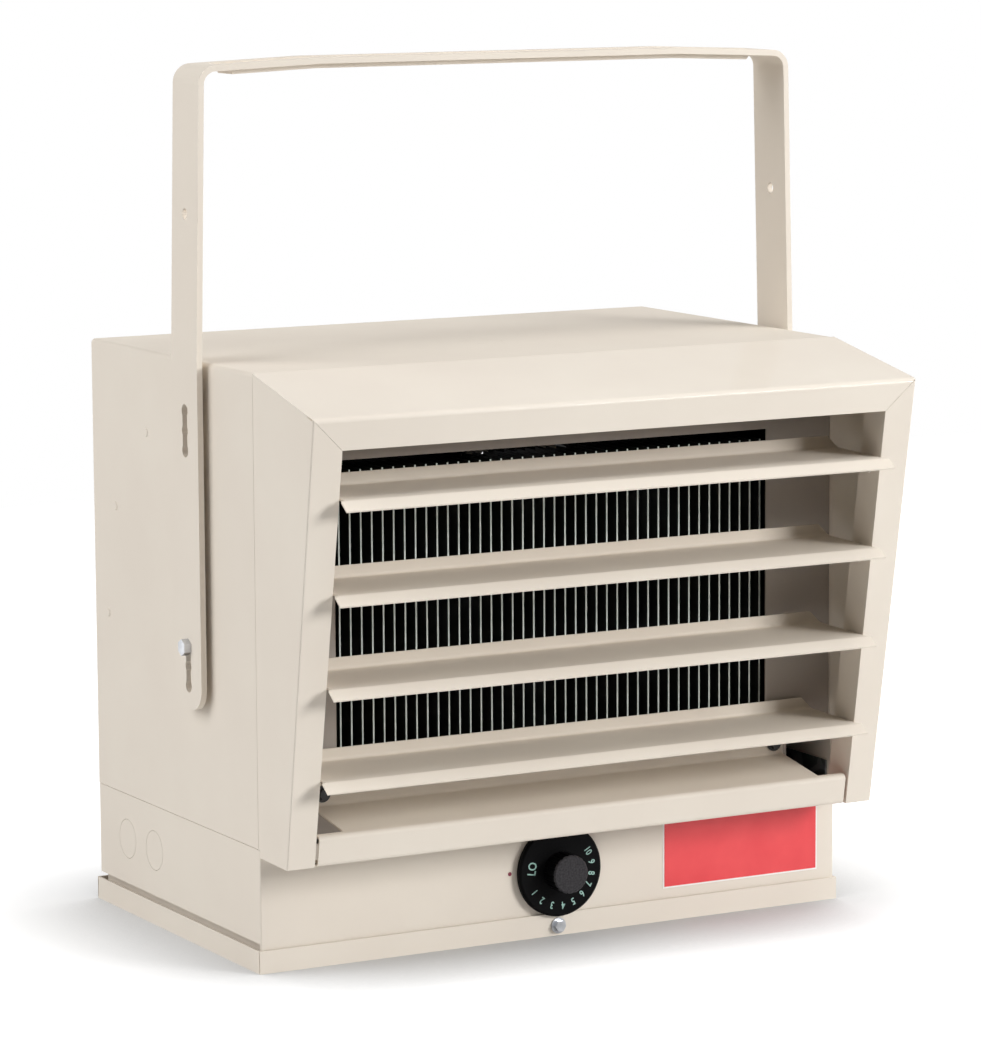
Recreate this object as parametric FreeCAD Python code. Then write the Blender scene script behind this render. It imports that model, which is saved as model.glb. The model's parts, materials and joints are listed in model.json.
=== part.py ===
import FreeCAD, Part
import math
import os

# Utility heater: a folded sheet-steel cabinet with a louvre hood, a control base and a hanging strap.
# Millimetres. X to the right, Y to the back, Z up. The origin is the middle of the resting face.

os.makedirs("parts", exist_ok=True)

# Sheet work and fits
sheet = 1.0
fold_radius = 1.6
seam_gap = 0.3
weld_gap = 0.05
running_clearance = 0.08
fit_clearance = 0.2
overrun = 4.0

# Cabinet
cabinet_width = 356.0
cabinet_depth = 206.0
cabinet_height = 317.0
seam_height = 66.4
rivet_radius = 2.6
rivet_rise = 0.7
rivet_setback_shares = (0.65, 0.856, 0.915)
rivet_height_shares = (0.859, 0.716, 0.523)

# Wire knockouts
knockout_radius = 11.1
knockout_groove = 0.22
top_knockout_setback = 79.5
side_knockout_setback = 132.4
side_knockout_pitch = 35.6
side_knockout_height = 41.0
side_knockout_count = 2

# Rear panel and its stamped intake
rear_inset = 1.0
rear_flange = 12.0
intake_rings = 6
intake_first_radius = 36.0
intake_ring_pitch = 11.0
intake_slot = 5.5
intake_web = 12.0

# Deck between cabinet and control base
deck_flange = 11.0

# Control base and bottom cover
base_proud = 1.7
base_corner = 0.8
groove_height = 15.6
skirt_inset = 3.0
pan_lip = 12.3
pan_front_proud = 1.4
pan_side_proud = 1.4
pan_corner_slit = 0.8
cover_screw_height = 5.6

# Front baffle and outlet window
baffle_recess = 2.0
baffle_flange = 10.0
window_centre = 2.4
window_side_margin = 45.0
window_bottom = 100.0
window_top_drop = 48.8
notch_margin = 3.0
baffle_notch_top = 95.0
baffle_screw_edge = 6.0
baffle_screw_height = 92.0

# Element housing, fins and sheathed tubes
housing_centre = 5.0
housing_side_margin = 5.0
housing_margin = 2.0
fin_count = 41
fin_pitch = 6.5
fin_thickness = 0.8
fin_depth = 32.0
fin_setback = 8.0
fin_low_margin = 4.0
fin_top_margin = 6.2
fin_hole_sides = 6
tube_radius = 4.0
tube_first_share = 0.139
tube_pitch_share = 0.2532
hairpin_count = 2
tube_stub = 12.0
stud_radius = 2.0
stud_length = 15.0
bush_radius = 5.5
bush_length = 8.0
limit_radius = 8.5
limit_height = 9.0
limit_flange_radius = 12.0
limit_tab = 6.3
limit_tab_thickness = 0.8
limit_x = 60.0

# Fan, shroud and motor
shroud_setback = 75.0
orifice_margin = 4.1
collar_length = 24.0
bell_radius = 3.0
tip_clearance = 4.0
fan_setback = 66.0
blade_count = 5
blade_chord = 58.0
blade_camber = 7.0
blade_thickness = 1.2
blade_pitch_deg = 30.0
blade_root_half = 13.0
blade_tip_half = 31.0
spider_radius = 24.0
fan_hub_radius = 11.0
fan_hub_length = 16.0
shaft_radius = 4.0
shaft_nose = 6.0
motor_setback = 112.0
motor_radius = 40.0
motor_length = 36.0
bell_shoulder = 3.0
motor_bell_depth = 14.0
motor_boss_radius = 9.0
motor_boss_length = 6.0
strap_thickness = 1.5
strap_width = 36.0
strap_half = 100.0
strap_foot = 20.0

# Thermostat and dial
dial_height = 36.5
dial_radius = 25.4
dial_thickness = 3.4
dial_chamfer = 1.1
dial_gap = 1.5
grip_radius = 10.6
grip_length = 11.5
grip_edge = 0.8
flute_count = 18
flute_radius = 0.8
spindle_radius = 3.0
spindle_insertion = 12.0
spindle_seat = 9.0
thermostat_width = 40.0
thermostat_height = 34.0
thermostat_depth = 30.0
bushing_radius = 5.0
bushing_reach = 1.0

# Contactor, terminal block and ground screw on the deck's underside
contactor_centre = 92.0
contactor_width = 56.0
contactor_depth = 46.0
contactor_foot = 6.0
contactor_body_inset = 5.0
contactor_body_height = 26.0
terminal_centre = -92.0
terminal_pole_pitch = 17.0
terminal_poles = 3
terminal_depth = 28.0
terminal_floor = 8.0
terminal_barrier = 2.4
terminal_barrier_height = 17.0
terminal_screw_radius = 3.6
terminal_screw_rise = 3.0
ground_setback = 40.0

# Hood
hood_top_reach = 77.0
hood_bottom_reach = 37.0
hood_edge_drop = 16.0
hood_bottom = 62.2
hood_flare = 3.2
rail_height = 17.2
stile_inner = 163.5
stile_return = 20.0
stile_edge_radius = 0.9
mitre_gap = 0.2
bottom_rail_height = 16.6
bottom_rail_gap = 1.8
bottom_return = 12.0
floor_end_cut = 15.7
floor_rise = 7.0
floor_flange = 12.0

# Louvres
louvre_count = 4
louvre_first_share = 0.1968
louvre_pitch_share = 0.20855
louvre_half = 162.5
louvre_lip_overhang = 2.5
louvre_lip_reach = 12.5
louvre_lip_run = 6.5
louvre_lip_drop = 4.6
louvre_rear_reach = 41.0
louvre_rise = 1.0
louvre_rear_lip = 6.5
louvre_lip_chamfer = 6.5
pivot_setback = 11.0
pivot_drop = 4.0
pivot_radius = 2.2
pivot_reach = 4.0
ear_radius = 5.0

# Hanging strap, its bolts, spacers and clinch nuts
bracket_width = 32.0
bracket_thickness = 3.2
bracket_standoff = 3.4
bracket_setback = 69.5
bracket_top = 475.6
bracket_end = 131.0
bracket_lean = 3.6
bracket_crown = 2.8
bracket_crown_half = 110.0
bracket_corner = 7.0
bracket_end_radius = 12.0
gentle_bend = 150.0
bead_half_length = 158.0
bead_taper = 9.0
bead_floor_half = 6.0
bead_wall = 3.0
bead_depth = 2.6
ceiling_hole_radius = 4.0
ceiling_hole_spread = 100.0
arm_hole_radius = 3.0
arm_hole_drop = 80.6
slot_lobe_radius = 3.7
slot_waist_half = 2.9
slot_lobe_pitch = 10.5
slot_lobes = 3
slot_spacing = 126.5
bolt_height = 164.3
bolt_radius = 2.4
bolt_reach = 12.0
spacer_radius = 7.0
clinch_radius = 5.5
clinch_length = 5.0

# Small hex-head screws
hex_flats = 7.9
hex_rise = 4.0
washer_radius = 4.4
washer_rise = 0.9
screw_flats = 5.5
screw_rise = 2.6
screw_radius = 1.9
screw_length = 7.0

# Places worked out from the sizes above
half_width = cabinet_width / 2
front = -cabinet_depth / 2
back = cabinet_depth / 2
inner_half = half_width - sheet - seam_gap
inner_top = cabinet_height - sheet - seam_gap
deck_top = seam_height + sheet
baffle_front = front + baffle_recess
baffle_back = baffle_front + sheet
rear_outer = back - rear_inset
rear_inner = rear_outer - sheet
shroud_front = front + shroud_setback
base_front = front - base_proud
base_top = seam_height - seam_gap
window_top = cabinet_height - window_top_drop
window_half_width = half_width - window_side_margin
housing_half_width = window_half_width + housing_side_margin
housing_bottom = window_bottom - housing_margin
housing_top = window_top + housing_margin
fan_x = housing_centre
fan_z = (housing_bottom + housing_top) / 2
orifice_radius = (housing_top - housing_bottom) / 2 - orifice_margin
fan_radius = orifice_radius - tip_clearance
fin_bottom = window_bottom + fin_low_margin
fin_top = window_top - fin_top_margin
tube_first_height = fin_bottom + (fin_top - fin_bottom) * tube_first_share
tube_pitch = (fin_top - fin_bottom) * tube_pitch_share
tube_y = front + fin_setback + fin_depth / 2
hood_edge = cabinet_height - hood_edge_drop
face_rise = hood_edge - hood_bottom
face_lean = (hood_top_reach - hood_bottom_reach) / face_rise
face_length = math.hypot(face_rise, hood_top_reach - hood_bottom_reach)
flare_slope = hood_flare / hood_top_reach
louvre_first_lip = hood_edge - face_rise * louvre_first_share
louvre_pitch = face_rise * louvre_pitch_share
rail_half = stile_inner - bottom_rail_gap
floor_half = rail_half - floor_end_cut
baffle_notch_half = floor_half + notch_margin
baffle_screw_spread = floor_half - baffle_screw_edge
bracket_y = front + bracket_setback
bracket_inner = half_width + bracket_standoff
X = FreeCAD.Vector(1, 0, 0)
Y = FreeCAD.Vector(0, 1, 0)
Z = FreeCAD.Vector(0, 0, 1)


# Shared shape builders

def vec(x, y, z):
    return FreeCAD.Vector(x, y, z)


def box(x0, x1, y0, y1, z0, z1):
    return Part.makeBox(x1 - x0, y1 - y0, z1 - z0, vec(x0, y0, z0))


def eased_box(x0, x1, y0, y1, z0, z1):
    """A box whose edges along Y are rounded to clear the folds of the sheet round it."""
    block = box(x0, x1, y0, y1, z0, z1)
    along = [edge for edge in block.Edges if edge.BoundBox.YLength > (y1 - y0) / 2]
    return block.makeFillet(fold_radius, along)


def upright_box(x0, x1, y0, y1, z0, z1, radius):
    """A box whose upright edges are rounded, as the folds of a wall that goes round it."""
    block = box(x0, x1, y0, y1, z0, z1)
    upright = [edge for edge in block.Edges if edge.BoundBox.ZLength > (z1 - z0) / 2]
    return block.makeFillet(radius, upright)


def rod(radius, start, end):
    return Part.makeCylinder(radius, (end - start).Length, start, end - start)


def ring(outer, inner, start, end):
    span = (end - start).normalize() * overrun
    return rod(outer, start, end).cut(rod(inner, start - span, end + span))


def sheet_panel(points, depth):
    """A flat panel: a closed polygon swept through its thickness."""
    return Part.Face(Part.makePolygon(points + points[:1])).extrude(depth)


def stand(shape, point, direction):
    """Moves a shape built upward from the origin so that it stands on a point."""
    shape.Placement = FreeCAD.Placement(point, FreeCAD.Rotation(Z, direction))
    return shape


def in_xz(y):
    return lambda u, v: vec(u, y, v)


def in_yz(x):
    return lambda u, v: vec(x, u, v)


def in_xy(z):
    return lambda u, v: vec(u, v, z)


def about_fan_axis(u, v):
    return vec(fan_x + u, v, fan_z)


def rounded_edges(points, radii):
    """Straight runs joined by tangent arcs at the inner corners."""
    edges = []
    last = points[0]
    for before, corner, after, radius in zip(points, points[1:], points[2:], radii):
        into = (corner - before).normalize()
        out = (after - corner).normalize()
        half_turn = into.getAngle(out) / 2
        reach = radius * math.tan(half_turn)
        start = corner - into * reach
        end = corner + out * reach
        bulge = (out - into).normalize() * (radius / math.cos(half_turn) - radius)
        edges.append(Part.LineSegment(last, start).toShape())
        edges.append(Part.Arc(start, corner + bulge, end).toShape())
        last = end
    edges.append(Part.LineSegment(last, points[-1]).toShape())
    return edges


def fold(profile, inside, thickness, place):
    """The section of a folded sheet: a profile with its thickness on the left and arcs inside each fold."""
    left = []
    near = []
    far = []
    for (u0, v0), (u1, v1) in zip(profile, profile[1:]):
        run = math.hypot(u1 - u0, v1 - v0)
        left.append(((v0 - v1) / run, (u1 - u0) / run))
    shifted = [(profile[0][0] + left[0][0] * thickness, profile[0][1] + left[0][1] * thickness)]
    for (u, v), (a, b), (c, d), radius in zip(profile[1:], left, left[1:], inside):
        share = thickness / (1 + a * c + b * d)
        shifted.append((u + (a + c) * share, v + (b + d) * share))
        turns_left = a * d - b * c > 0
        near.append(radius + thickness if turns_left else radius)
        far.append(radius if turns_left else radius + thickness)
    shifted.append((profile[-1][0] + left[-1][0] * thickness, profile[-1][1] + left[-1][1] * thickness))
    first = [place(u, v) for u, v in profile]
    second = [place(u, v) for u, v in reversed(shifted)]
    edges = rounded_edges(first, near)
    edges.append(Part.LineSegment(first[-1], second[0]).toShape())
    edges += rounded_edges(second, list(reversed(far)))
    edges.append(Part.LineSegment(second[-1], first[0]).toShape())
    return Part.Face(Part.Wire(edges))


def turned(points, place, point, axis):
    """A turned piece from the corners of its half section."""
    corners = [place(u, v) for u, v in points]
    return Part.Face(Part.makePolygon(corners + corners[:1])).revolve(point, axis, 360)


def hexagon(flats, rise):
    corner = flats / math.sqrt(3)
    turns = [math.radians(60 * side) for side in range(6)]
    return sheet_panel([vec(corner * math.cos(a), corner * math.sin(a), 0) for a in turns], Z * rise)


def hex_screw(point, direction, length):
    """A hex-washer screw whose washer face sits on a point; the direction is out of its head."""
    washer = Part.makeCylinder(washer_radius, washer_rise)
    head = hexagon(screw_flats, washer_rise + screw_rise)
    shank = Part.makeCylinder(screw_radius, length, vec(0, 0, 0), -Z)
    return stand(washer.fuse([head, shank]).removeSplitter(), point, direction)


def screw_hole(point, direction, length):
    start = point + direction * overrun
    return rod(screw_radius + fit_clearance, start, point - direction * (length + overrun))


def low_head(point, direction, radius, rise):
    """A low rivet or weld head with a sloped rim."""
    return stand(Part.makeCone(radius, radius - rise, rise), point, direction)


def group(shapes):
    return Part.makeCompound(shapes)


def save(name, shape):
    shape.exportStep("parts/" + name + ".step")


# Cabinet

def top_knockout_place(height):
    return vec(0, front + top_knockout_setback, height)


def side_knockout_places(x):
    return [vec(x, front + side_knockout_setback + side_knockout_pitch * k, side_knockout_height)
            for k in range(side_knockout_count)]


def bolt_line(reach):
    return vec(-reach, bracket_y, bolt_height), vec(reach, bracket_y, bolt_height)


def cabinet_wrapper():
    profile = [(half_width, seam_height), (half_width, cabinet_height),
               (-half_width, cabinet_height), (-half_width, seam_height)]
    shell = fold(profile, [fold_radius] * 2, sheet, in_xz(front)).extrude(Y * cabinet_depth)
    below = top_knockout_place(inner_top - overrun)
    top_hole = rod(knockout_radius, below, top_knockout_place(cabinet_height + overrun))
    bolt_holes = rod(clinch_radius - sheet + fit_clearance, *bolt_line(half_width + overrun))
    return shell.cut(top_hole).cut(bolt_holes)


def knockout_discs():
    radius = knockout_radius - knockout_groove
    discs = [rod(radius, top_knockout_place(cabinet_height - sheet), top_knockout_place(cabinet_height))]
    discs += [rod(radius, place, place + X * sheet) for place in side_knockout_places(-half_width)]
    return group(discs)


def side_rivets():
    heads = []
    for setback_share, height_share in zip(rivet_setback_shares, rivet_height_shares):
        y = front + cabinet_depth * setback_share
        z = cabinet_height * height_share
        heads.append(low_head(vec(-half_width, y, z), -X, rivet_radius, rivet_rise))
        heads.append(low_head(vec(half_width, y, z), X, rivet_radius, rivet_rise))
    return group(heads)


def strap_screw_places():
    reach = strap_half + strap_foot / 2
    return [vec(fan_x + side * reach, rear_outer, fan_z) for side in (-1, 1)]


def intake_slots():
    rings = []
    for k in range(intake_rings):
        middle = intake_first_radius + k * intake_ring_pitch
        start = vec(fan_x, rear_inner - overrun, fan_z)
        end = vec(fan_x, rear_outer + overrun, fan_z)
        rings.append(ring(middle + intake_slot / 2, middle - intake_slot / 2, start, end))
    reach = intake_first_radius + intake_rings * intake_ring_pitch
    upright = box(-intake_web / 2, intake_web / 2, rear_inner - 2 * overrun, rear_outer + 2 * overrun,
                  -reach, reach)
    webs = []
    for turn in (45, 135):
        web = upright.copy()
        web.rotate(vec(0, 0, 0), Y, turn)
        web.translate(vec(fan_x, 0, fan_z))
        webs.append(web)
    return group(rings).cut(webs[0].fuse(webs[1]))


def rear_panel():
    low = deck_top + seam_gap
    tray = eased_box(-inner_half, inner_half, rear_outer - rear_flange, rear_outer, low, inner_top)
    hollow = box(sheet - inner_half, inner_half - sheet, rear_outer - rear_flange - overrun, rear_inner,
                 low + sheet, inner_top - sheet)
    panel = tray.cut(hollow).cut(intake_slots())
    for place in strap_screw_places():
        panel = panel.cut(screw_hole(place, Y, screw_length))
    return panel


def deck_plate():
    top = deck_top + deck_flange
    profile = [(-inner_half, top), (-inner_half, seam_height), (inner_half, seam_height), (inner_half, top)]
    run = rear_outer - rear_flange - seam_gap - (baffle_back + seam_gap)
    deck = fold(profile, [fold_radius] * 2, sheet, in_xz(baffle_back + seam_gap)).extrude(Y * run)
    return deck.cut(screw_hole(ground_place(), -Z, screw_length))


# Control base

def cover_screw_place():
    return vec(0, base_front - pan_front_proud, cover_screw_height)


def spindle_line(start, end):
    return vec(0, start, dial_height), vec(0, end, dial_height)


def base_box():
    skirt = half_width - skirt_inset
    ledge = groove_height + sheet
    upper = upright_box(-half_width, half_width, base_front, back, groove_height, base_top, base_corner)
    lower = box(-skirt, skirt, base_front, back - skirt_inset, sheet + seam_gap, ledge)
    apron = upright_box(-half_width, half_width, base_front, back, sheet + seam_gap, ledge, base_corner)
    apron = apron.common(box(-half_width, half_width, base_front, base_front + sheet, 0, ledge))
    upper_hollow = box(sheet - half_width, half_width - sheet, base_front + sheet, back - sheet,
                       ledge, base_top + overrun)
    lower_hollow = box(sheet - skirt, skirt - sheet, base_front + sheet, back - skirt_inset - sheet,
                       -overrun, ledge + sheet)
    base = upper.fuse([lower, apron]).cut(upper_hollow).cut(lower_hollow)
    bushing = spindle_line(base_front - overrun, base_front + overrun)
    base = base.cut(rod(bushing_radius + fit_clearance, *bushing))
    base = base.cut(screw_hole(cover_screw_place(), -Y, screw_length))
    for place in side_knockout_places(-half_width):
        base = base.cut(rod(knockout_radius, place - X * overrun, place + X * overrun))
    return base.removeSplitter()


def bottom_cover():
    wide = half_width + pan_side_proud
    near = base_front - pan_front_proud
    far = back + pan_side_proud
    pan = box(-wide, wide, near, far, 0, pan_lip)
    pan = pan.cut(box(sheet - wide, wide - sheet, near + sheet, far - sheet, sheet, pan_lip + overrun))
    for side in (-1, 1):
        corner = side * (wide - sheet / 2)
        for y in (near, far - sheet):
            slit = box(corner - sheet, corner + sheet, y - overrun, y + overrun, sheet, pan_lip + overrun)
            band = box(-wide - overrun, wide + overrun, y + sheet / 2 - pan_corner_slit / 2,
                       y + sheet / 2 + pan_corner_slit / 2, sheet, pan_lip + overrun)
            pan = pan.cut(slit.common(band))
    return pan.cut(screw_hole(cover_screw_place(), -Y, screw_length))


def cover_screw():
    return hex_screw(cover_screw_place(), -Y, screw_length)


def thermostat_body():
    wall = base_front + sheet
    block = box(-thermostat_width / 2, thermostat_width / 2, wall, wall + thermostat_depth,
                dial_height - thermostat_height / 2, dial_height + thermostat_height / 2)
    block = block.makeChamfer(sheet, block.Edges)
    bushing = rod(bushing_radius, *spindle_line(base_front - bushing_reach, wall + sheet))
    reach = spindle_line(base_front - overrun, wall + spindle_insertion)
    return block.fuse(bushing).cut(rod(spindle_radius + running_clearance, *reach))


def thermostat_spindle():
    inner = base_front + sheet + spindle_insertion - seam_gap
    return rod(spindle_radius, *spindle_line(base_front - dial_gap - spindle_seat, inner))


def thermostat_dial():
    rear = base_front - dial_gap
    face = rear - dial_thickness
    nose = face - grip_length
    bore = spindle_radius + running_clearance
    seat = rear - spindle_seat - seam_gap
    section = [(bore, rear), (dial_radius, rear), (dial_radius, face + dial_chamfer),
               (dial_radius - dial_chamfer, face), (grip_radius, face), (grip_radius, nose + grip_edge),
               (grip_radius - grip_edge, nose), (0, nose), (0, seat), (bore, seat)]
    dial = turned(section, lambda u, v: vec(u, v, dial_height), vec(0, 0, dial_height), Y)
    flutes = []
    for k in range(flute_count):
        turn = 2 * math.pi * k / flute_count
        x = (grip_radius + flute_radius / 2) * math.cos(turn)
        z = dial_height + (grip_radius + flute_radius / 2) * math.sin(turn)
        flutes.append(rod(flute_radius, vec(x, nose - overrun, z), vec(x, face, z)))
    return dial.cut(group(flutes))


def contactor():
    middle = (front + back) / 2
    half = contactor_width / 2
    deep = contactor_depth / 2
    low = seam_height - contactor_foot
    inset = contactor_body_inset
    left = contactor_centre - half
    right = contactor_centre + half
    foot = box(left, right, middle - deep, middle + deep, low, seam_height)
    body = box(left + inset, right - inset, middle - deep + inset, middle + deep - inset,
               low - contactor_body_height, low)
    body = body.makeChamfer(sheet, body.Edges)
    return foot.fuse(body).removeSplitter()


def terminal_place(pole):
    shift = (pole - (terminal_poles - 1) / 2) * terminal_pole_pitch
    return vec(terminal_centre + shift, (front + back) / 2, seam_height - terminal_floor)


def terminal_block():
    half = terminal_poles * terminal_pole_pitch / 2
    near = -terminal_depth / 2
    block = box(terminal_centre - half, terminal_centre + half, near, -near,
                seam_height - terminal_floor, seam_height)
    low = seam_height - terminal_barrier_height
    for k in range(terminal_poles + 1):
        x = terminal_centre - half + k * (2 * half - terminal_barrier) / terminal_poles
        block = block.fuse(box(x, x + terminal_barrier, near, -near, low, seam_height))
    return block.removeSplitter()


def terminal_screws():
    return group([rod(terminal_screw_radius, terminal_place(k), terminal_place(k) - Z * terminal_screw_rise)
                  for k in range(terminal_poles)])


def ground_place():
    return vec(terminal_centre, front + ground_setback, seam_height)


def ground_screw():
    return hex_screw(ground_place(), -Z, screw_length)


# Outlet: baffle, housing, fins and tubes

def baffle_screw_places():
    return [vec(side * baffle_screw_spread, baffle_front - sheet - seam_gap, baffle_screw_height)
            for side in (-1, 1)]


def front_baffle():
    low = deck_top + seam_gap
    tray = eased_box(-inner_half, inner_half, baffle_front, baffle_front + baffle_flange, low, inner_top)
    hollow = box(sheet - inner_half, inner_half - sheet, baffle_back, baffle_front + baffle_flange + overrun,
                 low - overrun, inner_top - sheet)
    window = box(window_centre - window_half_width, window_centre + window_half_width, baffle_front - overrun,
                 baffle_back + overrun, window_bottom, window_top)
    baffle = tray.cut(hollow).cut(window)
    for side in (-1, 1):
        corner = box(baffle_notch_half, half_width, baffle_front - overrun,
                     baffle_front + baffle_flange + overrun, low - overrun, baffle_notch_top)
        baffle = baffle.cut(corner if side > 0 else corner.mirror(vec(0, 0, 0), X))
    for place in baffle_screw_places():
        baffle = baffle.cut(screw_hole(place, -Y, screw_length))
    return baffle


def baffle_screws():
    return group([hex_screw(place, -Y, screw_length) for place in baffle_screw_places()])


def tube_heights():
    return [tube_first_height + k * tube_pitch for k in range(2 * hairpin_count)]


def housing_wall(side):
    return housing_centre + side * (housing_half_width + sheet)


def element_housing():
    near = baffle_back + seam_gap
    far = shroud_front - seam_gap
    outer = box(housing_wall(-1), housing_wall(1), near, far, housing_bottom - sheet, housing_top + sheet)
    inner = box(housing_wall(-1) + sheet, housing_wall(1) - sheet, near - overrun, far + overrun,
                housing_bottom, housing_top)
    holes = [rod(tube_radius + fit_clearance, vec(housing_wall(-1) - overrun, tube_y, z),
                 vec(housing_wall(1) + overrun, tube_y, z)) for z in tube_heights()]
    return outer.cut(inner).cut(group(holes))


def element_fins():
    near = front + fin_setback
    plate = box(-fin_thickness / 2, fin_thickness / 2, near, near + fin_depth, fin_bottom, fin_top)
    corner = (tube_radius + fit_clearance) / math.cos(math.pi / fin_hole_sides)
    turns = [2 * math.pi * k / fin_hole_sides for k in range(fin_hole_sides)]
    for z in tube_heights():
        hole = [vec(-overrun, tube_y + corner * math.cos(a), z + corner * math.sin(a)) for a in turns]
        plate = plate.cut(sheet_panel(hole, X * (2 * overrun)))
    first = housing_centre - fin_pitch * (fin_count - 1) / 2
    return group([plate.translated(X * (first + k * fin_pitch)) for k in range(fin_count)])


def element_tube(pair):
    """One sheathed hairpin: two legs through the fins, a return bend, and a stud at each end."""
    low, high = tube_heights()[2 * pair:2 * pair + 2]
    left = housing_wall(-1) - tube_stub
    right = housing_wall(1) + sheet
    pieces = []
    for z in (low, high):
        end = vec(left, tube_y, z)
        pieces.append(rod(tube_radius, end, vec(right, tube_y, z)))
        pieces.append(rod(stud_radius, end - X * stud_length, end))
    circle = Part.Face(Part.Wire(Part.makeCircle(tube_radius, vec(right, tube_y, low), X)))
    pieces.append(circle.revolve(vec(right, tube_y, (low + high) / 2), -Y, 180))
    return pieces[0].fuse(pieces[1:]).removeSplitter()


def element_bushes():
    end = housing_wall(-1) - tube_stub
    return group([ring(bush_radius, stud_radius + running_clearance, vec(end - bush_length, tube_y, z),
                       vec(end, tube_y, z)) for z in tube_heights()])


def limit_switch():
    seat = vec(limit_x, tube_y, housing_top + sheet)
    flange = rod(limit_flange_radius, seat, seat + Z * sheet)
    can = rod(limit_radius, seat, seat + Z * limit_height)
    switch = flange.fuse(can)
    top = limit_height + limit_tab
    for side in (-1, 1):
        x = limit_x + side * limit_radius / 2
        tab = box(x - limit_tab_thickness / 2, x + limit_tab_thickness / 2, tube_y - limit_tab / 2,
                  tube_y + limit_tab / 2, seat.z, seat.z + top)
        switch = switch.fuse(tab)
    return switch.removeSplitter()


# Fan, shroud and motor

def fan_line(start, end):
    return vec(fan_x, start, fan_z), vec(fan_x, end, fan_z)


def fan_shroud():
    back_face = shroud_front + sheet
    side = inner_half - sheet - seam_gap
    plate = eased_box(-side, side, shroud_front, back_face, deck_top + seam_gap, inner_top)
    mouth = orifice_radius + bell_radius + 2 * sheet
    plate = plate.cut(rod(mouth, *fan_line(shroud_front - overrun, back_face + overrun)))
    profile = [(mouth + sheet, back_face), (orifice_radius, back_face),
               (orifice_radius, back_face - collar_length)]
    collar = fold(profile, [bell_radius], sheet, about_fan_axis).revolve(vec(fan_x, 0, fan_z), Y, 360)
    return plate.fuse(collar).removeSplitter()


def blade_section(start):
    pitch = math.radians(blade_pitch_deg)
    along = Z * math.cos(pitch) + Y * math.sin(pitch)
    across = Y * math.cos(pitch) - Z * math.sin(pitch)
    ends = [start - along * (blade_chord / 2), start + along * (blade_chord / 2)]
    crown = start + across * blade_camber
    skin = across * blade_thickness
    lower = Part.Arc(ends[0], crown, ends[1]).toShape()
    upper = Part.Arc(ends[1] + skin, crown + skin, ends[0] + skin).toShape()
    joins = [Part.LineSegment(ends[1], ends[1] + skin).toShape(),
             Part.LineSegment(ends[0] + skin, ends[0]).toShape()]
    return Part.Face(Part.Wire([lower, joins[0], upper, joins[1]]))


def fan_blades():
    y = front + fan_setback
    root = spider_radius - blade_camber
    blade = blade_section(vec(root, y - blade_camber / 2, 0)).extrude(X * (fan_radius - root))
    corners = [(root, -blade_root_half), (fan_radius, -blade_tip_half), (fan_radius, blade_tip_half),
               (root, blade_root_half)]
    outline = [vec(x, y - blade_chord, z) for x, z in corners]
    blade = blade.common(sheet_panel(outline, Y * (2 * blade_chord)))
    blade = blade.common(rod(fan_radius, vec(0, y - blade_chord, 0), vec(0, y + blade_chord, 0)))
    spider = rod(spider_radius, vec(0, y - blade_thickness / 2, 0), vec(0, y + blade_thickness / 2, 0))
    blades = []
    for k in range(blade_count):
        copy = blade.copy()
        copy.rotate(vec(0, 0, 0), Y, 360 * k / blade_count)
        blades.append(copy)
    fan = spider.fuse(blades).removeSplitter()
    fan = fan.cut(rod(shaft_radius + running_clearance, vec(0, y - overrun, 0), vec(0, y + overrun, 0)))
    fan.translate(vec(fan_x, 0, fan_z))
    return fan


def fan_hub():
    seat = front + fan_setback + blade_thickness / 2
    return ring(fan_hub_radius, shaft_radius + running_clearance, *fan_line(seat, seat + fan_hub_length))


def motor_shaft():
    return rod(shaft_radius, *fan_line(front + fan_setback - shaft_nose, front + motor_setback - seam_gap))


def motor_front_bell():
    seat = front + motor_setback
    nose = seat - motor_bell_depth
    rim = motor_radius - bell_shoulder
    bore = shaft_radius + running_clearance
    section = [(bore, seat), (rim, seat), (rim, (seat + nose) / 2), (rim - bell_shoulder * 2, nose),
               (motor_boss_radius, nose), (motor_boss_radius, nose - motor_boss_length),
               (bore, nose - motor_boss_length)]
    return turned(section, about_fan_axis, vec(fan_x, 0, fan_z), Y)


def motor_can():
    seat = front + motor_setback
    return rod(motor_radius, *fan_line(seat, seat + motor_length))


def motor_tail():
    return front + motor_setback + motor_length + motor_bell_depth


def motor_rear_bell():
    seat = motor_tail() - motor_bell_depth
    rim = motor_radius - bell_shoulder
    section = [(0, seat), (rim, seat), (rim, (seat + motor_tail()) / 2),
               (rim - bell_shoulder * 2, motor_tail()), (0, motor_tail())]
    return turned(section, about_fan_axis, vec(fan_x, 0, fan_z), Y)


def motor_strap():
    foot = rear_inner - strap_thickness
    left = fan_x - strap_half
    right = fan_x + strap_half
    profile = [(left - strap_foot, foot), (left, foot), (left, motor_tail()), (right, motor_tail()),
               (right, foot), (right + strap_foot, foot)]
    section = fold(profile, [fold_radius] * 4, strap_thickness, in_xy(fan_z - strap_width / 2))
    strap = section.extrude(Z * strap_width)
    for place in strap_screw_places():
        strap = strap.cut(screw_hole(place, Y, screw_length))
    return strap


def strap_screws():
    return group([hex_screw(place, Y, screw_length) for place in strap_screw_places()])


# Hood

def face_y(z):
    return front - hood_bottom_reach - (z - hood_bottom) * face_lean


def face_point(x, climb):
    """A point of the hood's leaning front face, a distance up it from the bottom."""
    z = hood_bottom + climb * face_rise / face_length
    return vec(x, face_y(z), z)


def flared(reach):
    return half_width + flare_slope * reach


def into_face():
    return vec(0, face_rise, hood_top_reach - hood_bottom_reach).normalize()


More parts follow.
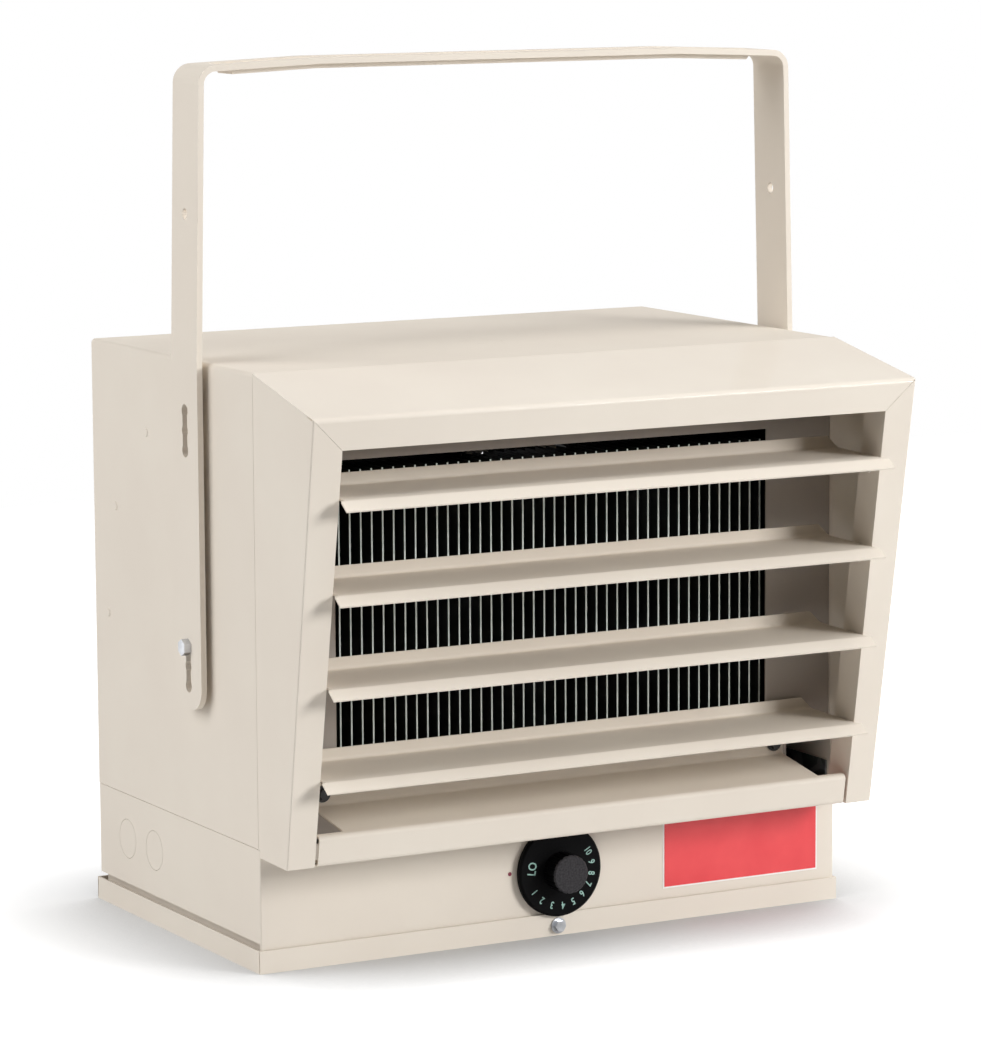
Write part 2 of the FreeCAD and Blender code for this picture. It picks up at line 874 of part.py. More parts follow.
def stile_outline(side, gap):
    """A stile of the front frame, mitred under the upper rail."""
    top_outer = face_length - gap
    top_inner = face_length - rail_height - gap
    return [face_point(side * flared(hood_bottom_reach), 0),
            face_point(side * flared(hood_top_reach), top_outer),
            face_point(side * stile_inner, top_inner), face_point(side * stile_inner, 0)]


def hood_top():
    lower = face_point(0, face_length - rail_height)
    profile = [(front - seam_gap / 2, cabinet_height), (front - hood_top_reach, hood_edge),
               (lower.y, lower.z)]
    wide = half_width + hood_flare
    top = fold(profile, [fold_radius], sheet, in_yz(-wide)).extrude(X * (2 * wide))
    reach = hood_top_reach + overrun
    plan = [vec(-half_width, front, 0), vec(-flared(reach), front - reach, 0),
            vec(flared(reach), front - reach, 0), vec(half_width, front, 0)]
    top = top.common(sheet_panel(plan, Z * (cabinet_height + overrun)))
    deep = into_face() * (4 * overrun)
    for side in (-1, 1):
        outline = [point - deep / 2 for point in stile_outline(side, 0)]
        top = top.cut(sheet_panel(outline, deep))
    return top.removeSplitter()


def pivot_points():
    """The louvres' pivots, on the side flanges behind the front face."""
    points = []
    for k in range(louvre_count):
        z = louvre_first_lip - k * louvre_pitch + louvre_lip_drop - sheet - pivot_drop
        points.append(vec(0, face_y(z) + pivot_setback, z))
    return points


def hood_side(side):
    """A side wall folded into a mitred stile, with a return flange that carries the louvres' pins."""
    slope = hood_edge_drop / hood_top_reach
    crest = cabinet_height - sheet - weld_gap
    edge_reach = (hood_bottom_reach + (crest - hood_bottom) * face_lean) / (1 + slope * face_lean)
    corners = [(seam_gap, hood_bottom), (seam_gap, crest - slope * seam_gap),
               (edge_reach, crest - slope * edge_reach), (hood_bottom_reach, hood_bottom)]
    wall = [vec(side * flared(reach), front - reach, z) for reach, z in corners]
    inward = X * (-side * sheet)
    stile = sheet_panel(stile_outline(side, mitre_gap), into_face() * sheet)
    far = cabinet_depth
    beyond = [vec(side * flared(reach), front - reach, z)
              for reach, z in ((0, 0), (far, 0), (far, cabinet_height), (0, cabinet_height))]
    outside = sheet_panel(beyond, -inward)
    low = face_point(side * stile_inner, 0)
    high = face_point(side * stile_inner, face_length - rail_height - mitre_gap)
    depth = Y * stile_return
    flange = sheet_panel([low, high, high + depth, low + depth], X * (side * sheet))
    panel = sheet_panel(wall, inward).fuse([stile.cut(outside), flange]).removeSplitter()
    fold_edges = [edge for edge in panel.Edges if edge.Length > face_length / 2 and on_front_corner(edge)]
    panel = panel.makeFillet(stile_edge_radius, fold_edges)
    base_space = box(-cabinet_width, cabinet_width, base_front - seam_gap, front, hood_bottom - overrun,
                     seam_height)
    panel = panel.cut(base_space)
    for point in pivot_points():
        start = point + X * (side * (stile_inner - overrun))
        end = point + X * (side * (stile_inner + 2 * overrun))
        panel = panel.cut(rod(pivot_radius + running_clearance, start, end))
    return panel


def on_front_corner(edge):
    """Whether an edge is the outer one of a stile."""
    ends = [vertex.Point for vertex in edge.Vertexes]
    return all(abs(p.y - face_y(p.z)) < weld_gap and abs(p.x) > half_width for p in ends)


def hood_bottom_rail():
    top = face_point(0, bottom_rail_height)
    low = face_point(0, 0)
    rear = baffle_front - sheet - seam_gap
    profile = [(rear, top.z + floor_rise + floor_flange), (rear, top.z + floor_rise), (top.y, top.z),
               (low.y, low.z), (low.y + bottom_return, low.z)]
    rail = fold(profile, [fold_radius] * 3, sheet, in_yz(-rail_half)).extrude(X * (2 * rail_half))
    for side in (-1, 1):
        end = box(floor_half, rail_half + overrun, top.y + 4 * sheet, rear + 2 * sheet, top.z - sheet,
                  top.z + floor_rise + floor_flange + overrun)
        rail = rail.cut(end if side > 0 else end.mirror(vec(0, 0, 0), X))
    for place in baffle_screw_places():
        rail = rail.cut(screw_hole(place, -Y, screw_length))
    return rail


def louvre(k):
    """A folded blade with a raised rear lip, a wider turned-down front lip, and a pivot ear at each end."""
    pivot = pivot_points()[k]
    lip_z = louvre_first_lip - k * louvre_pitch
    face = face_y(pivot.z)
    nose = face - louvre_lip_reach
    rear = face + louvre_rear_reach
    blade_z = lip_z + louvre_lip_drop
    rear_z = blade_z + louvre_rise
    profile = [(rear, rear_z + louvre_rear_lip), (rear, rear_z), (nose + louvre_lip_run, blade_z),
               (nose, lip_z)]
    wide = louvre_half + louvre_lip_overhang
    blade = fold(profile, [fold_radius] * 2, sheet, in_yz(-wide)).extrude(X * (2 * wide))
    crest = rear_z + louvre_rear_lip
    trim = box(louvre_half, wide + overrun, nose + louvre_lip_run, rear + overrun, lip_z - overrun,
               crest + overrun)
    blade = blade.cut(trim).cut(trim.mirror(vec(0, 0, 0), X))
    for side in (-1, 1):
        end = side * louvre_half
        inset = end - side * louvre_lip_chamfer
        y = rear - overrun
        corner = [vec(end, y, crest - louvre_rear_lip), vec(end, y, crest), vec(inset, y, crest)]
        blade = blade.cut(sheet_panel(corner, Y * (2 * overrun)))
        inner = X * (side * (louvre_half - sheet))
        outer = X * (side * louvre_half)
        ear = rod(ear_radius, pivot + inner, pivot + outer)
        rim = [(-ear_radius, 0), (ear_radius, 0), (ear_radius, pivot_drop), (-ear_radius, pivot_drop)]
        neck = [pivot + inner + vec(0, y, z) for y, z in rim]
        pin = rod(pivot_radius, pivot + inner, pivot + outer + X * (side * pivot_reach))
        blade = blade.fuse([ear, sheet_panel(neck, outer - inner), pin])
    return blade.removeSplitter()


# Hanging strap

def arm_slots():
    """Two detent slots in each arm; a bolt sits in the top lobe of the lower one."""
    tools = []
    for k in range(2):
        top = bolt_height + k * slot_spacing
        low = top - (slot_lobes - 1) * slot_lobe_pitch
        reach = bracket_inner + bracket_thickness + overrun
        for lobe in range(slot_lobes):
            z = top - lobe * slot_lobe_pitch
            tools.append(rod(slot_lobe_radius, vec(-reach, bracket_y, z), vec(reach, bracket_y, z)))
        tools.append(box(-reach, reach, bracket_y - slot_waist_half, bracket_y + slot_waist_half, low, top))
    return tools[0].fuse(tools[1:])


def crown_line(x):
    """Height of the crossbar's upper face, which falls away to both ends."""
    neck = bracket_inner + bracket_thickness - bracket_lean
    fall = max(0, abs(x) - bracket_crown_half) / (neck - bracket_crown_half)
    return bracket_top - bracket_crown * fall


def bead(half, depth, lift):
    """A bar along the crossbar with sloped ends, from a lift above its upper face to a depth below it."""
    taper = bead_taper * (1 + lift / bead_depth)
    spots = [-bead_half_length, -bracket_crown_half, bracket_crown_half, bead_half_length]
    under = [vec(x, bracket_y - half, crown_line(x) - depth) for x in spots]
    ends = bead_half_length + taper
    over = [vec(ends, bracket_y - half, crown_line(bead_half_length) + lift),
            vec(bracket_crown_half, bracket_y - half, bracket_top + lift),
            vec(-bracket_crown_half, bracket_y - half, bracket_top + lift),
            vec(-ends, bracket_y - half, crown_line(bead_half_length) + lift)]
    return sheet_panel(under + over, Y * (2 * half))


def mounting_bracket():
    outer = bracket_inner + bracket_thickness
    neck = outer - bracket_lean
    shoulder = bracket_top - bracket_crown
    profile = [(outer, bracket_end), (outer, cabinet_height), (neck, shoulder),
               (bracket_crown_half, bracket_top)]
    profile += [(-x, z) for x, z in reversed(profile)]
    radii = [gentle_bend, bracket_corner, gentle_bend, gentle_bend, bracket_corner, gentle_bend]
    near = bracket_y - bracket_width / 2
    strap = fold(profile, radii, bracket_thickness, in_xz(near)).extrude(Y * bracket_width)
    feet = [edge for edge in strap.Edges if edge.BoundBox.ZMax < bracket_end + seam_gap]
    corners = [edge for edge in feet if edge.BoundBox.YLength < seam_gap]
    strap = strap.makeFillet(bracket_end_radius, corners)
    bulge = bead(bead_floor_half + bead_wall, bracket_thickness + bead_depth, -bracket_thickness / 2)
    strap = strap.fuse(bulge).cut(bead(bead_floor_half, bead_depth, overrun))
    reach = bracket_inner + bracket_thickness + overrun
    arm_hole = [vec(x, bracket_y, bracket_top - arm_hole_drop) for x in (-reach, reach)]
    holes = [rod(arm_hole_radius, *arm_hole)]
    below = bracket_top - bracket_thickness - bead_depth - overrun
    for side in (-1, 1):
        x = side * ceiling_hole_spread
        ceiling_hole = [vec(x, bracket_y, z) for z in (below, bracket_top + overrun)]
        holes.append(rod(ceiling_hole_radius, *ceiling_hole))
    return strap.cut(group(holes)).cut(arm_slots()).removeSplitter()


def bracket_bolts():
    bolts = []
    seat = bracket_inner + bracket_thickness + running_clearance
    for side in (-1, 1):
        point = vec(side * seat, bracket_y, bolt_height)
        head = stand(hexagon(hex_flats, hex_rise), point, X * side)
        shank = rod(bolt_radius, point, point - X * (side * bolt_reach))
        bolts.append(head.fuse(shank).removeSplitter())
    return group(bolts)


def bracket_spacers():
    rings = []
    for side in (-1, 1):
        point = vec(side * (half_width + running_clearance), bracket_y, bolt_height)
        rise = X * (side * (bracket_standoff - 2 * running_clearance))
        rings.append(ring(spacer_radius, bolt_radius + running_clearance, point, point + rise))
    return group(rings)


def clinch_nuts():
    nuts = []
    for side in (-1, 1):
        inner = vec(side * (half_width - sheet - running_clearance), bracket_y, bolt_height)
        away = X * -side
        body = rod(clinch_radius, inner, inner + away * clinch_length)
        spigot = rod(clinch_radius - sheet, inner - away * sheet, inner)
        through = inner + away * (clinch_length + overrun)
        bore = rod(bolt_radius + running_clearance, inner - away * overrun, through)
        nuts.append(body.fuse(spigot).cut(bore))
    return group(nuts)


save("cabinet_wrapper", cabinet_wrapper())
save("knockout_discs", knockout_discs())
save("side_rivets", side_rivets())
save("rear_panel", rear_panel())
save("deck_plate", deck_plate())
save("base_box", base_box())
save("bottom_cover", bottom_cover())
save("cover_screw", cover_screw())
save("thermostat_body", thermostat_body())
save("thermostat_spindle", thermostat_spindle())
save("thermostat_dial", thermostat_dial())
save("contactor", contactor())
save("terminal_block", terminal_block())
save("terminal_screws", terminal_screws())
save("ground_screw", ground_screw())
save("front_baffle", front_baffle())
save("baffle_screws", baffle_screws())
save("element_housing", element_housing())
save("element_fins", element_fins())
save("element_tube_lower", element_tube(0))
save("element_tube_upper", element_tube(1))
save("element_bushes", element_bushes())
save("limit_switch", limit_switch())
save("fan_shroud", fan_shroud())
save("fan_blades", fan_blades())
save("fan_hub", fan_hub())
save("motor_shaft", motor_shaft())
save("motor_front_bell", motor_front_bell())
save("motor_can", motor_can())
save("motor_rear_bell", motor_rear_bell())
save("motor_strap", motor_strap())
save("strap_screws", strap_screws())
save("hood_top", hood_top())
save("hood_left_side", hood_side(-1))
save("hood_right_side", hood_side(1))
save("hood_bottom_rail", hood_bottom_rail())
for number in range(louvre_count):
    save("louvre_" + str(number + 1), louvre(number))
save("mounting_bracket", mounting_bracket())
save("bracket_bolts", bracket_bolts())
save("bracket_spacers", bracket_spacers())
save("clinch_nuts", clinch_nuts())
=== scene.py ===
import json
import math

import bmesh
import bpy
from mathutils import Euler, Matrix, Vector


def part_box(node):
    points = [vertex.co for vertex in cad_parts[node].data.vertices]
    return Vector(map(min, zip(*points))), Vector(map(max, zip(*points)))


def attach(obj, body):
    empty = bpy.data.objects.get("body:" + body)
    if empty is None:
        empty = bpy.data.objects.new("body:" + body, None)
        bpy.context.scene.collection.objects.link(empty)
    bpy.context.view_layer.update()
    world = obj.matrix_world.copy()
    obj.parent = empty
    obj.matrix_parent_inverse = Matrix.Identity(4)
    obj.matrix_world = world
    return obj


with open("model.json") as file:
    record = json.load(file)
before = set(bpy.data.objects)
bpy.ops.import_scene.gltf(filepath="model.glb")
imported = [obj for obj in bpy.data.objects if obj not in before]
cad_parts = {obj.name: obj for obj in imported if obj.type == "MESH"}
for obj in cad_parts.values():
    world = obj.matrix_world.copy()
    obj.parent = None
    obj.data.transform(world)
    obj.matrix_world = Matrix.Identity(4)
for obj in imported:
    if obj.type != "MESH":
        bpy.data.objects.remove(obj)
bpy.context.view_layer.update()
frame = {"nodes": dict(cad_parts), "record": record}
nodes = frame["nodes"]
scene = bpy.context.scene

WHITE = (1.0, 1.0, 1.0, 1.0)


# Materials

RAMP_ENDS = (0.3, 0.7)
DRIFT_DETAIL = 4.0
GRAIN_DETAIL = 3.0
RELIEF_DETAIL = 2.0

# Sockets of a Mix node that mixes colours
MIX_FIRST_COLOUR = 6
MIX_SECOND_COLOUR = 7
MIX_COLOUR_RESULT = 2


class Shader:
    """A material's node tree with short calls for the nodes that are used here."""

    def __init__(self, name):
        self.material = bpy.data.materials.new(name)
        self.material.use_nodes = True
        self.tree = self.material.node_tree
        self.surface = self.tree.nodes["Principled BSDF"]
        self.place = self.tree.nodes.new("ShaderNodeTexCoord").outputs["Object"]

    def link(self, source, target):
        self.tree.links.new(source, target)

    def noise(self, scale, detail=GRAIN_DETAIL):
        node = self.tree.nodes.new("ShaderNodeTexNoise")
        node.inputs["Scale"].default_value = scale
        node.inputs["Detail"].default_value = detail
        self.link(self.place, node.inputs["Vector"])
        return node.outputs["Fac"]

    def cells(self, scale):
        node = self.tree.nodes.new("ShaderNodeTexVoronoi")
        node.inputs["Scale"].default_value = scale
        self.link(self.place, node.inputs["Vector"])
        separate = self.tree.nodes.new("ShaderNodeSeparateColor")
        self.link(node.outputs["Color"], separate.inputs["Color"])
        return separate.outputs["Red"]

    def tint(self, factor, low, high):
        ramp = self.tree.nodes.new("ShaderNodeValToRGB")
        for element, position, colour in zip(ramp.color_ramp.elements, RAMP_ENDS, (low, high)):
            element.position = position
            element.color = (*colour, 1.0)
        self.link(factor, ramp.inputs["Fac"])
        return ramp.outputs["Color"]

    def spread(self, factor, low, high):
        node = self.tree.nodes.new("ShaderNodeMapRange")
        node.inputs["To Min"].default_value = low
        node.inputs["To Max"].default_value = high
        self.link(factor, node.inputs["Value"])
        return node.outputs["Result"]

    def calculate(self, operation, value, constant):
        node = self.tree.nodes.new("ShaderNodeMath")
        node.operation = operation
        node.inputs[1].default_value = constant
        self.link(value, node.inputs[0])
        return node.outputs["Value"]

    def bump(self, height, strength, distance):
        node = self.tree.nodes.new("ShaderNodeBump")
        node.inputs["Strength"].default_value = strength
        node.inputs["Distance"].default_value = distance
        self.link(height, node.inputs["Height"])
        self.link(node.outputs["Normal"], self.surface.inputs["Normal"])

    def set(self, **values):
        for name, value in values.items():
            self.surface.inputs[name.replace("_", " ")].default_value = value

    def feed(self, name, source):
        self.link(source, self.surface.inputs[name])


def srgb(red, green, blue):
    """Linear colour of a screen colour given from 0 to 255."""
    def linear(value):
        share = value / 255.0
        return share / 12.92 if share <= 0.04045 else ((share + 0.055) / 1.055) ** 2.4
    return tuple(linear(v) for v in (red, green, blue))


def varied(name, tints, scale, rough, metallic=0.0, relief=None):
    """A surface whose tint and roughness drift a little.

    An optional fine relief is given by its scale, its strength and its height.
    """
    shader = Shader(name)
    drift = shader.noise(scale, DRIFT_DETAIL)
    shader.feed("Base Color", shader.tint(drift, *tints))
    shader.feed("Roughness", shader.spread(drift, *rough))
    shader.set(Metallic=metallic)
    if relief:
        relief_scale, strength, height = relief
        shader.bump(shader.noise(relief_scale, RELIEF_DETAIL), strength, height)
    return shader


SPANGLE_SCALE = 70.0
SPANGLE_ROUGHNESS = (0.42, 0.58)
SPANGLE_METALLIC = 0.85


def galvanised(name, tints):
    """Zinc-coated sheet with its spangle."""
    shader = Shader(name)
    spangle = shader.cells(SPANGLE_SCALE)
    shader.feed("Base Color", shader.tint(spangle, *tints))
    shader.feed("Roughness", shader.spread(spangle, *SPANGLE_ROUGHNESS))
    shader.set(Metallic=SPANGLE_METALLIC)
    return shader


def split_by_depth(name, grain_scale, line, ahead_tints, behind_tints, rough):
    """A grained surface with one tint in front of a depth line and another behind it."""
    shader = Shader(name)
    grain = shader.noise(grain_scale)
    axes = shader.tree.nodes.new("ShaderNodeSeparateXYZ")
    shader.link(shader.place, axes.inputs["Vector"])
    mix = shader.tree.nodes.new("ShaderNodeMix")
    mix.data_type = "RGBA"
    shader.link(shader.calculate("LESS_THAN", axes.outputs["Y"], line), mix.inputs["Factor"])
    shader.link(shader.tint(grain, *behind_tints), mix.inputs[MIX_FIRST_COLOUR])
    shader.link(shader.tint(grain, *ahead_tints), mix.inputs[MIX_SECOND_COLOUR])
    shader.feed("Base Color", mix.outputs[MIX_COLOUR_RESULT])
    shader.feed("Roughness", shader.spread(grain, *rough))
    return shader, grain


# Paint: the hood's top is glossier than the rest; the baffle behind the blades has a darker tint, painted
# shade for the dim inside of the hood

PAINT_TINTS = (srgb(226, 216, 203), srgb(230, 221, 208))
# The baffle's darker tint is painted shade: the same paint, darkened for the shade inside the hood
BAFFLE_SHADE_TINTS = (srgb(166, 157, 149), srgb(174, 165, 157))
PAINT_DRIFT = 14.0
PAINT_SPECULAR = 0.35

paint = varied("almond_paint", PAINT_TINTS, PAINT_DRIFT, rough=(0.6, 0.68), relief=(1400.0, 0.05, 0.0004))
paint.set(Specular_IOR_Level=PAINT_SPECULAR)
gloss_paint = varied("gloss_paint", PAINT_TINTS, PAINT_DRIFT, rough=(0.6, 0.66))
gloss_paint.set(Specular_IOR_Level=PAINT_SPECULAR, Coat_Weight=0.22, Coat_Roughness=0.1)
baffle_shade_paint = varied("baffle_shade_paint", BAFFLE_SHADE_TINTS, PAINT_DRIFT, rough=(0.62, 0.7))

# Metals, ceramic and plastic

sheet = galvanised("galvanised", (srgb(120, 122, 124), srgb(150, 152, 153)))
# The housing, the fan shroud and the fan get a near-black zinc sheet: painted shade for the deep shade
# behind the fins
shade_dark_sheet = galvanised("housing_shade_sheet", (srgb(20, 20, 20), srgb(30, 30, 29)))
zinc = varied("zinc_steel", (srgb(176, 178, 182), srgb(214, 216, 220)),
              scale=220.0, rough=(0.25, 0.38), metallic=1.0)
black_steel = varied("black_steel", (srgb(22, 22, 23), srgb(34, 33, 34)), scale=120.0, rough=(0.38, 0.5))
brass = varied("terminal_brass", (srgb(196, 160, 92), srgb(214, 180, 112)),
               scale=160.0, rough=(0.3, 0.42), metallic=1.0)
sheath = varied("sheath_steel", (srgb(84, 80, 76), srgb(116, 110, 104)),
                scale=90.0, rough=(0.35, 0.5), metallic=0.9)
ceramic = varied("ceramic", (srgb(226, 222, 212), srgb(236, 232, 224)), scale=60.0, rough=(0.2, 0.3))
plastic = varied("black_plastic", (srgb(10, 10, 11), srgb(17, 17, 18)),
                 scale=300.0, rough=(0.42, 0.55), relief=(1500.0, 0.25, 0.0004))

# Print on the base and on the dial

mark_paint = varied("mark_paint", (srgb(138, 178, 168), srgb(164, 200, 190)), scale=500.0, rough=(0.5, 0.6))
label_red = varied("label_red", (srgb(226, 62, 68), srgb(236, 76, 80)), scale=40.0, rough=(0.3, 0.4))
label_white = varied("label_white", (srgb(240, 238, 234), srgb(248, 246, 243)),
                     scale=40.0, rough=(0.35, 0.45))
dot_red = varied("dot_red", (srgb(110, 18, 44), srgb(132, 26, 54)), scale=400.0, rough=(0.4, 0.5))

# The dial is black, with a grey front on its grip

DIAL_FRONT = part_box("thermostat_dial")[0].y
GRIP_FRONT_DEPTH = 0.0009
GRIP_TINTS = (srgb(46, 45, 47), srgb(66, 64, 66))
DIAL_TINTS = (srgb(3, 3, 4), srgb(6, 6, 7))

dial_plastic, dial_grain = split_by_depth("dial_plastic", 900.0, DIAL_FRONT + GRIP_FRONT_DEPTH,
                                          GRIP_TINTS, DIAL_TINTS, rough=(0.45, 0.6))
dial_plastic.bump(dial_grain, strength=0.3, distance=0.0003)
dial_plastic.set(Specular_IOR_Level=0.06)

# The fins have bright sheared front edges in bare aluminium; their sides are darkened near-black as painted
# shade for the deep shade between the close fins

FIN_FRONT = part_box("element_fins")[0].y
FIN_EDGE_DEPTH = 0.0004
FIN_EDGE_TINTS = (srgb(196, 206, 198), srgb(226, 232, 226))
FIN_SIDE_SHADE_TINTS = (srgb(24, 26, 25), srgb(38, 41, 39))

fin_sheet, _ = split_by_depth("fin_sheet", 260.0, FIN_FRONT + FIN_EDGE_DEPTH,
                              FIN_EDGE_TINTS, FIN_SIDE_SHADE_TINTS, rough=(0.45, 0.6))
fin_sheet.set(Metallic=0.3)

SLOT_SHADERS = {"almond_paint": paint, "galvanised": sheet, "zinc_steel": zinc, "black_plastic": plastic,
                "black_steel": black_steel, "terminal_brass": brass, "fin_aluminium": fin_sheet,
                "sheath_steel": sheath, "ceramic": ceramic}
# The baffle, housing, shroud and fan tints here are darkened as painted shade
NODE_SHADERS = {"hood_top": gloss_paint, "front_baffle": baffle_shade_paint, "element_housing": shade_dark_sheet,
                "fan_shroud": shade_dark_sheet, "fan_blades": shade_dark_sheet, "thermostat_dial": dial_plastic}

for subpart in frame["record"]["subparts"]:
    node_name = subpart["node"]
    shader = NODE_SHADERS.get(node_name, SLOT_SHADERS[subpart["material_slot"]])
    mesh = nodes[node_name].data
    mesh.materials.clear()
    mesh.materials.append(shader.material)


# Pieces that the solids leave out: the label, the dial's scale and the index dot

def add_piece(name, mesh, shader, body):
    piece = bpy.data.objects.new(name, mesh)
    scene.collection.objects.link(piece)
    mesh.materials.append(shader.material)
    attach(piece, body)


def block_mesh(name, low, high):
    """A block between two corners."""
    mesh = bpy.data.meshes.new(name)
    builder = bmesh.new()
    middle = (Vector(low) + Vector(high)) / 2
    place = Matrix.Translation(middle) @ Matrix.Diagonal((*(Vector(high) - Vector(low)), 1.0))
    bmesh.ops.create_cube(builder, size=1.0, matrix=place)
    builder.to_mesh(mesh)
    builder.free()
    return mesh


BASE_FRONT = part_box("base_box")[0].y
LABEL_X = (0.067, 0.1671)
LABEL_Z = (0.018, 0.0585)
LABEL_BORDER = 0.0009
LABEL_THICKNESS = 0.0002


def add_label_layer(name, inset, back, shader):
    """One layer of the label, drawn in by the inset, with its back at a given depth."""
    low = (LABEL_X[0] + inset, back - LABEL_THICKNESS, LABEL_Z[0] + inset)
    high = (LABEL_X[1] - inset, back, LABEL_Z[1] - inset)
    add_piece(name, block_mesh(name, low, high), shader, "heater")


add_label_layer("label_plate", 0.0, BASE_FRONT, label_white)
add_label_layer("label_field", LABEL_BORDER, BASE_FRONT - LABEL_THICKNESS, label_red)

DIAL_AXIS_HEIGHT = 0.0365
GRIP_HEIGHT = 0.0115
DIAL_FACE = DIAL_FRONT + GRIP_HEIGHT
MARK_RADIUS = 0.0191
MARK_SIZE = 0.0056
WORD_RADIUS = 0.0178
WORD_SIZE = 0.0072
MARK_WIDTH_SHARE = 0.8
MARK_LIFT = 0.00004
MARK_WEIGHT = 0.00008
MARK_CURVE_STEPS = 3

# Each mark's place, in degrees anticlockwise from the dial's right, seen from the front
MARKS = (("LO", 171), ("1", 212), ("2", 232), ("3", 253), ("4", 274), ("5", 293), ("6", 313), ("7", 332),
         ("8", 350), ("9", 369), ("10", 389))
UPRIGHT_TURN = 90


def dial_marks():
    """The dial's scale as one flat mesh, each mark with its top outward."""
    joined = bmesh.new()
    graph = bpy.context.evaluated_depsgraph_get()
    facing_front = (Matrix.Translation((0.0, DIAL_FACE, DIAL_AXIS_HEIGHT))
                    @ Matrix.Rotation(math.pi / 2, 4, "X"))
    for text, turn in MARKS:
        size, radius = (MARK_SIZE, MARK_RADIUS) if text.isdigit() else (WORD_SIZE, WORD_RADIUS)
        curve = bpy.data.curves.new("mark", "FONT")
        curve.body = text
        curve.size = size
        curve.align_x = "CENTER"
        curve.align_y = "CENTER"
        curve.extrude = MARK_LIFT
        curve.offset = MARK_WEIGHT
        curve.resolution_u = MARK_CURVE_STEPS
        holder = bpy.data.objects.new("mark", curve)
        scene.collection.objects.link(holder)
        graph.update()
        mesh = bpy.data.meshes.new_from_object(holder.evaluated_get(graph))
        mesh.transform(facing_front
                       @ Matrix.Rotation(math.radians(turn - UPRIGHT_TURN), 4, "Z")
                       @ Matrix.Translation((0.0, radius, 0.0))
                       @ Matrix.Diagonal((MARK_WIDTH_SHARE, 1.0, 1.0, 1.0)))
        joined.from_mesh(mesh)
        bpy.data.objects.remove(holder)
        bpy.data.curves.remove(curve)
        bpy.data.meshes.remove(mesh)
    result = bpy.data.meshes.new("dial_marks")
    joined.to_mesh(result)
    joined.free()
    return result


add_piece("dial_marks", dial_marks(), mark_paint, "dial")

DOT_X = -0.029
DOT_Z = 0.0369
DOT_RADIUS = 0.0011
DOT_THICKNESS = 0.0002
DOT_SIDES = 24


def dot_mesh():
    """The index dot beside the dial, flat on the base."""
    mesh = bpy.data.meshes.new("index_dot")
    builder = bmesh.new()
    middle = (DOT_X, BASE_FRONT - DOT_THICKNESS / 2, DOT_Z)
    place = Matrix.Translation(middle) @ Matrix.Rotation(math.pi / 2, 4, "X")
    bmesh.ops.create_cone(builder, cap_ends=True, segments=DOT_SIDES, radius1=DOT_RADIUS, radius2=DOT_RADIUS,
                          depth=DOT_THICKNESS, matrix=place)
    builder.to_mesh(mesh)
    builder.free()
    return mesh


add_piece("index_dot", dot_mesh(), dot_red, "heater")


# Floor and surroundings

FLOOR_REACH = 1.6
FLOOR_DEPTH = 0.02
FLOOR_TINTS = ((0.44, 0.44, 0.44), (0.46, 0.46, 0.46))
FLOOR_DRIFT = 2.0
FLOOR_GLOW = 0.88
FLOOR_BOUNCE = 0.36
CONTACT_SHADOW_REACH = 0.11
CONTACT_SHADOW_DEPTH = 2.0
SKY_LIGHT = 0.02
SKY_WHITE = 1.0


def seen_directly(tree):
    """One for the rays that show the surroundings: to the camera, in gloss and through glass."""
    path = tree.nodes.new("ShaderNodeLightPath")
    seen = path.outputs["Is Camera Ray"]
    for name in ("Is Glossy Ray", "Is Transmission Ray"):
        either = tree.nodes.new("ShaderNodeMath")
        either.operation = "MAXIMUM"
        tree.links.new(seen, either.inputs[0])
        tree.links.new(path.outputs[name], either.inputs[1])
        seen = either.outputs["Value"]
    return seen


def floor_paper():
    """White paper to look at, with a painted contact shadow that darkens its glow towards what stands on it,
    and a glow that gives a plain bounce to the object.
    """
    shader = Shader("floor_paper")
    shader.feed("Base Color", shader.tint(shader.noise(FLOOR_DRIFT), *FLOOR_TINTS))
    shader.set(Roughness=0.9, Specular_IOR_Level=0.1, Emission_Color=WHITE)
    # Painted contact shadow: ambient occlusion darkens the floor's glow close to the object
    contact = shader.tree.nodes.new("ShaderNodeAmbientOcclusion")
    contact.inputs["Distance"].default_value = CONTACT_SHADOW_REACH
    shade = shader.calculate("POWER", contact.outputs["AO"], CONTACT_SHADOW_DEPTH)
    glow = shader.tree.nodes.new("ShaderNodeMapRange")
    glow.inputs["To Min"].default_value = FLOOR_BOUNCE
    shader.link(seen_directly(shader.tree), glow.inputs["Value"])
    shader.link(shader.spread(shade, 0.0, FLOOR_GLOW), glow.inputs["To Max"])
    shader.feed("Emission Strength", glow.outputs["Result"])
    return shader


floor_mesh = block_mesh("floor", (-FLOOR_REACH, -FLOOR_REACH, -FLOOR_DEPTH), (FLOOR_REACH, FLOOR_REACH, 0.0))
floor_mesh.materials.append(floor_paper().material)
floor = bpy.data.objects.new("floor", floor_mesh)
scene.collection.objects.link(floor)

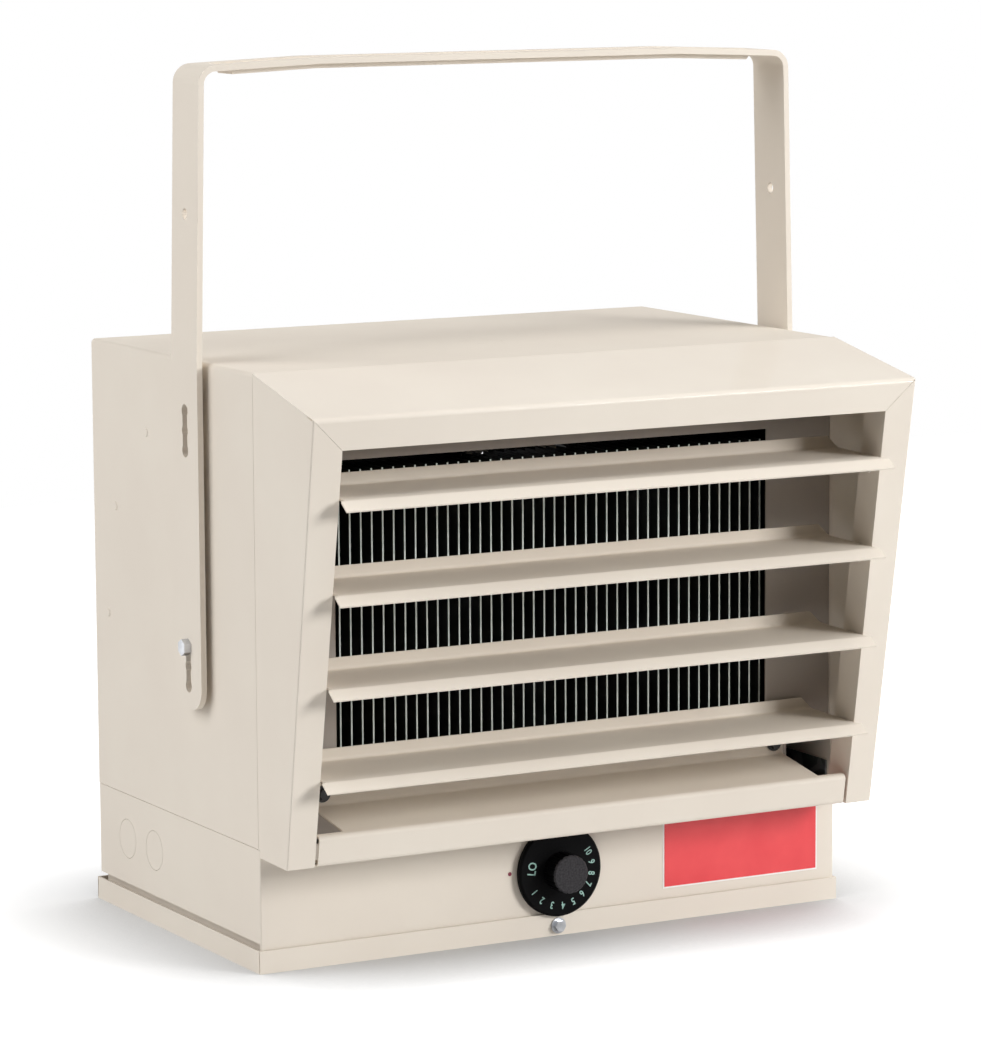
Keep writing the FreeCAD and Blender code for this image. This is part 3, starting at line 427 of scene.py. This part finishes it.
world = bpy.data.worlds.new("studio")
scene.world = world
world.use_nodes = True
sky = world.node_tree.nodes["Background"]
sky.inputs["Color"].default_value = WHITE
level = world.node_tree.nodes.new("ShaderNodeMapRange")
level.inputs["To Min"].default_value = SKY_LIGHT
level.inputs["To Max"].default_value = SKY_WHITE
world.node_tree.links.new(seen_directly(world.node_tree), level.inputs["Value"])
world.node_tree.links.new(level.outputs["Result"], sky.inputs["Strength"])


# Lights

HOOD_AIM = (0.0, -0.1, 0.2)
CABINET_AIM = (0.0, 0.0, 0.2)


def area_light(name, place, target, side, power):
    """A square lamp that faces its target."""
    lamp = bpy.data.lights.new(name, "AREA")
    lamp.size = side
    lamp.energy = power
    holder = bpy.data.objects.new(name, lamp)
    holder.location = place
    holder.rotation_euler = (Vector(target) - Vector(place)).to_track_quat("-Z", "Y").to_euler()
    scene.collection.objects.link(holder)


area_light("key", place=(1.76, -2.35, 1.13), target=HOOD_AIM, side=1.0, power=61.0)
area_light("right", place=(2.5, -1.3, 1.5), target=HOOD_AIM, side=1.6, power=19.0)
area_light("overhead", place=(0.5, -0.75, 2.3), target=HOOD_AIM, side=1.2, power=18.0)
area_light("left_fill", place=(-2.0, 0.25, 1.5), target=CABINET_AIM, side=2.0, power=42.0)


# Camera, as solved from the photograph, with its turns about X, Y and Z in degrees

CAMERA_PLACE = (-1.194734, -2.234749, 0.578381)
CAMERA_TURNS = (81.61666, 0.24569, -29.05502)
CAMERA_SHIFT = (-0.0413, 0.01035)
SENSOR_WIDTH = 36.0
FOCAL_LENGTH = 157.16

camera_data = bpy.data.cameras.new("camera")
camera_data.sensor_width = SENSOR_WIDTH
camera_data.sensor_fit = "AUTO"
camera_data.lens = FOCAL_LENGTH
camera_data.shift_x, camera_data.shift_y = CAMERA_SHIFT
camera = bpy.data.objects.new("camera", camera_data)
scene.collection.objects.link(camera)
camera_turn = Euler([math.radians(turn) for turn in CAMERA_TURNS])
camera.matrix_world = Matrix.Translation(CAMERA_PLACE) @ camera_turn.to_matrix().to_4x4()
scene.camera = camera
scene.view_settings.view_transform = "Standard"
